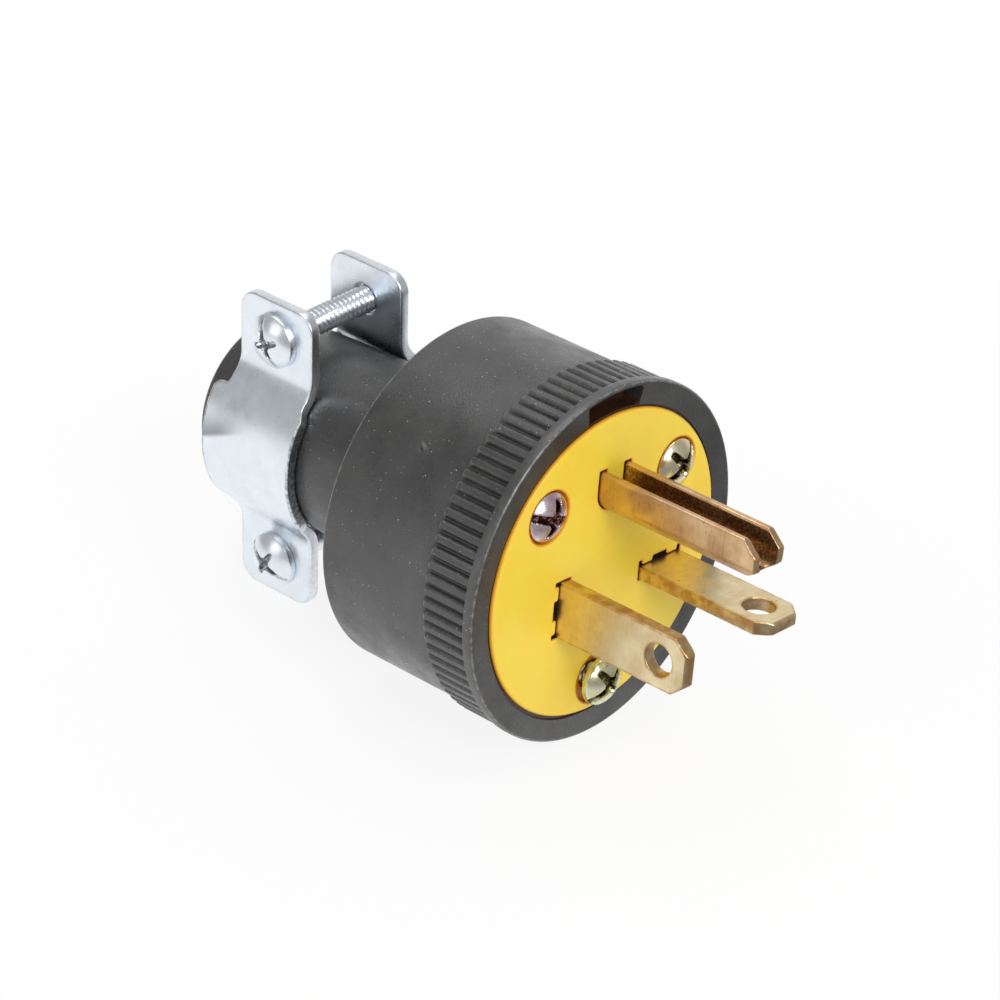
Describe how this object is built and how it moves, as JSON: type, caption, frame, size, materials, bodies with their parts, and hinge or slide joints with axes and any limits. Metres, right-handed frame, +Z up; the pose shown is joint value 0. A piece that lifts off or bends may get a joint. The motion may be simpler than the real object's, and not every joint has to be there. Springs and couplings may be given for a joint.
{
  "type": "straight blade plug",
  "caption": "Rewirable straight-blade plug: ribbed rubber body with a neck, yellow insert with brass line blades and a folded grounding pin, and a screwed steel cord clamp.",
  "frame": {"origin": "centre of the housing's front rim, in the plane of the rim and on the plug's axis", "axes": "+Y along the plug's axis towards the cord, so the blades point to -Y; +Z up, on the grounding pin's side"},
  "size_m": [0.04, 0.0703, 0.04],
  "materials": {
    "rubber": "matte black moulded rubber",
    "yellow_nylon": "semi-gloss yellow nylon",
    "blade_brass": "satin rolled brass",
    "gold_plated_steel": "yellow-passivated steel",
    "screw_brass": "plain brass",
    "green_steel": "green-dyed steel",
    "zinc_steel": "bright zinc-plated steel"
  },
  "bodies": {
    "root": {"housing": "rubber", "face_plate": "yellow_nylon", "terminal_block": "yellow_nylon", "upright_blade": "blade_brass", "flat_blade": "blade_brass", "ground_pin": "blade_brass", "face_screws": "gold_plated_steel", "line_terminal_screws": "screw_brass", "ground_terminal_screw": "green_steel", "upright_pressure_plate": "zinc_steel", "flat_pressure_plate": "zinc_steel", "ground_pressure_plate": "zinc_steel", "plain_clamp": "zinc_steel", "tapped_clamp": "zinc_steel", "clamp_screws": "zinc_steel"}
  },
  "joints": []
}
